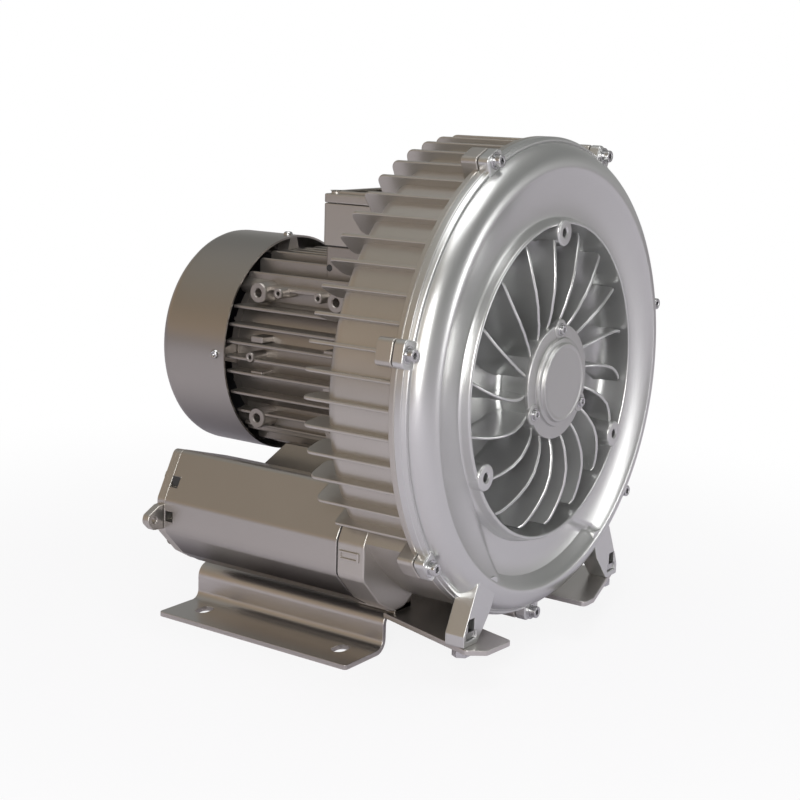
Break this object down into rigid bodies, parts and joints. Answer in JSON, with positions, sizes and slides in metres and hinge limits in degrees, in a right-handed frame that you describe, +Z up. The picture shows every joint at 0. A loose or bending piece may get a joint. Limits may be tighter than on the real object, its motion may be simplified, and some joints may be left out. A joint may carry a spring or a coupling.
{
  "type": "side channel blower",
  "caption": "Side channel blower with a ribbed dished front cover, finned ring casing, in-line finned motor with fan cowl, twin silencers and a bent sheet base.",
  "frame": {"origin": "centre of the foot slot pattern, on the floor under the base sheet", "axes": "+X to the right seen from the front cover, +Y backwards along the motor shaft to the fan, +Z up"},
  "size_m": [0.3768, 0.344, 0.3955],
  "materials": {
    "cast_aluminium": "sprayed silver-grey casting, satin, fine orange-peel grain",
    "cover_casting": "sprayed bright silver casting, satin",
    "cowl_sheet": "satin silver sheet, fine grain around the cowl",
    "base_sheet": "satin pressed steel sheet with draw lines along the bends",
    "steel": "bright machined and plated steel",
    "rubber": "matt black rubber",
    "foam": "dark open-cell absorber",
    "dark_plastic": "moulded dark plastic",
    "copper": "varnished copper wire",
    "brass": "turned brass"
  },
  "bodies": {
    "casing": {"base_plate": "base_sheet", "base_bolts": "steel", "base_nuts": "steel", "pump_housing": "cast_aluminium", "cover_seal": "rubber", "pump_cover": "cover_casting", "cover_bolts": "steel", "front_bearing_outer_ring": "steel", "bearing_preload_spring": "steel", "bearing_cap": "cover_casting", "bearing_cap_seal": "rubber", "bearing_cap_screws": "steel", "impeller_shaft_seal": "rubber", "motor_shaft_seal": "rubber", "motor_housing": "cast_aluminium", "motor_mounting_bolts": "steel", "stator_core": "steel", "stator_windings": "copper", "rear_end_shield": "cast_aluminium", "end_shield_screws": "steel", "rear_bearing_outer_ring": "steel", "fan_cowl": "cowl_sheet", "cowl_screws": "steel", "terminal_box_base": "cast_aluminium", "terminal_box_lid": "cast_aluminium", "terminal_lid_screws": "steel", "terminal_box_gasket": "rubber", "terminal_board": "dark_plastic", "terminal_studs": "brass", "cable_gland": "dark_plastic", "blanking_plug": "dark_plastic", "earth_screw": "steel", "silencer_body_left": "cast_aluminium", "silencer_body_right": "cast_aluminium", "silencer_foam_left": "foam", "silencer_foam_right": "foam", "perforated_tube_left": "steel", "perforated_tube_right": "steel", "silencer_gaskets": "rubber", "port_flange_left": "cast_aluminium", "port_flange_right": "cast_aluminium", "port_flange_screws": "steel"},
    "rotor": {"impeller": "cast_aluminium", "impeller_key": "steel", "spacer_sleeve": "steel", "bearing_locknut": "steel", "front_bearing_inner_ring": "steel", "rotor_core": "steel", "motor_shaft": "steel", "rear_bearing_inner_ring": "steel", "rear_circlip": "steel", "cooling_fan": "dark_plastic", "fan_clip": "steel"},
    "front_ball_set": {"front_bearing_balls": "steel", "front_bearing_cage": "steel"},
    "rear_ball_set": {"rear_bearing_balls": "steel", "rear_bearing_cage": "steel"}
  },
  "joints": [
    {"name": "rotor_spin", "type": "hinge", "parent": "casing", "child": "rotor", "pos_m": [0, 0, 0.213], "axis": [0, 1, 0], "continuous": true},
    {"name": "front_ball_spin", "type": "hinge", "parent": "casing", "child": "front_ball_set", "pos_m": [0, -0.174, 0.213], "axis": [0, 1, 0], "continuous": true},
    {"name": "rear_ball_spin", "type": "hinge", "parent": "casing", "child": "rear_ball_set", "pos_m": [0, 0.083, 0.213], "axis": [0, 1, 0], "continuous": true}
  ],
  "couplings": [
    {"joint": "front_ball_spin", "follows": "rotor_spin", "ratio": 0.404},
    {"joint": "rear_ball_spin", "follows": "rotor_spin", "ratio": 0.404}
  ]
}
